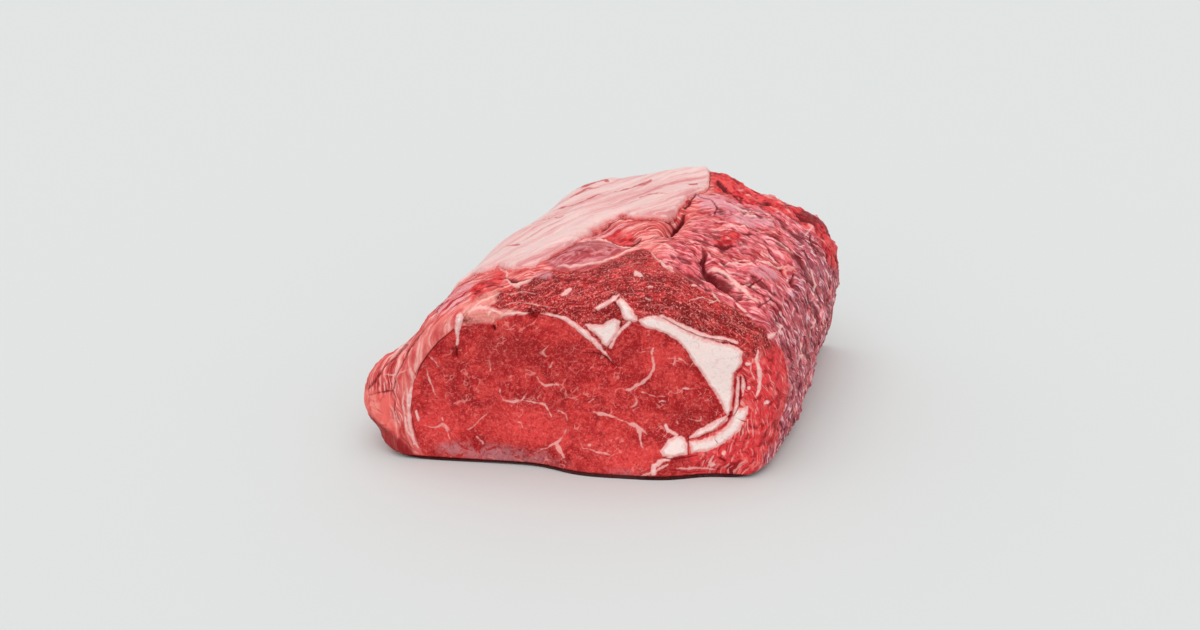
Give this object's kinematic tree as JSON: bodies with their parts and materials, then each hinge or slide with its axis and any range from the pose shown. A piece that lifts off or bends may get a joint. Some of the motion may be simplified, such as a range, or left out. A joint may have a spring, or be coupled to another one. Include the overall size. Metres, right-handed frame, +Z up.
{
  "type": "boneless raw beef rib roast",
  "caption": "Thick block of raw beef with a flat cut face at each end, a sheet of fat over one shoulder and a flat underside that it rests on.",
  "frame": {"origin": "middle of the footprint, on the surface that the roast lies on", "axes": "+X to the right along the front cut face, +Y from the front cut face to the back one, +Z up"},
  "size_m": [0.2542, 0.1928, 0.1148],
  "materials": {
    "raw_beef": "wet raw flesh, marbled with fat"
  },
  "bodies": {
    "root": {"rib_roast": "raw_beef"}
  },
  "joints": []
}
